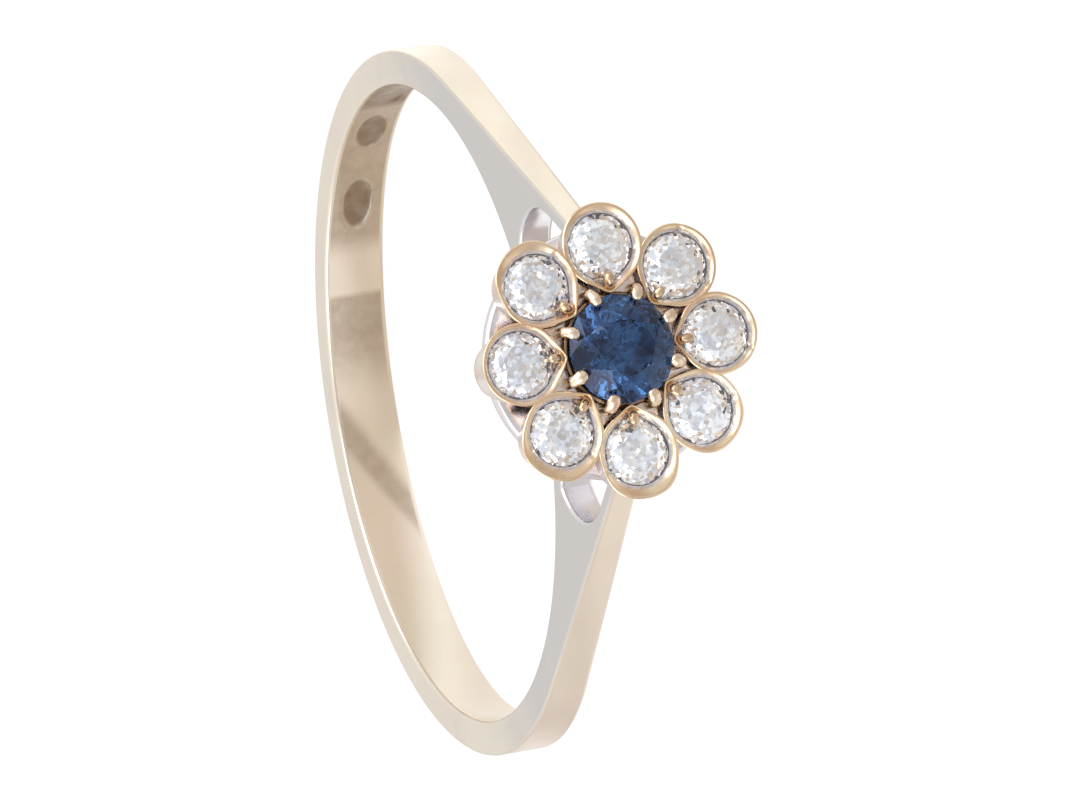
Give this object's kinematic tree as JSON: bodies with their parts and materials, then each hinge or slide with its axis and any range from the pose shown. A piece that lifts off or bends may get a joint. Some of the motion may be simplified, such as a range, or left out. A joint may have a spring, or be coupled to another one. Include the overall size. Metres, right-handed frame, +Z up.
{
  "type": "cluster ring",
  "caption": "Finger ring with a flat band, pierced straight shoulders and a flower head: a round centre stone in claws inside a circle of small stones in petal-shaped rub-over settings.",
  "frame": {"origin": "on the surface that the ring lies on, under the middle of its box", "axes": "+X from the back of the band to the flower, +Y along the flower's width in the plane of the band, +Z up off the surface; the finger's axis leans 6.6 degrees from +Z towards -X"},
  "size_m": [0.0238, 0.0188, 0.0071],
  "materials": {
    "champagne_gold": "polished white gold whose pale plating has worn to a warm champagne colour",
    "sapphire": "polished deep blue corundum, brilliant cut",
    "diamond": "polished colourless diamond, brilliant cut"
  },
  "bodies": {
    "root": {"ring_mount": "champagne_gold", "centre_sapphire": "sapphire", "diamond_1": "diamond", "diamond_2": "diamond", "diamond_3": "diamond", "diamond_4": "diamond", "diamond_5": "diamond", "diamond_6": "diamond", "diamond_7": "diamond", "diamond_8": "diamond"}
  },
  "joints": []
}
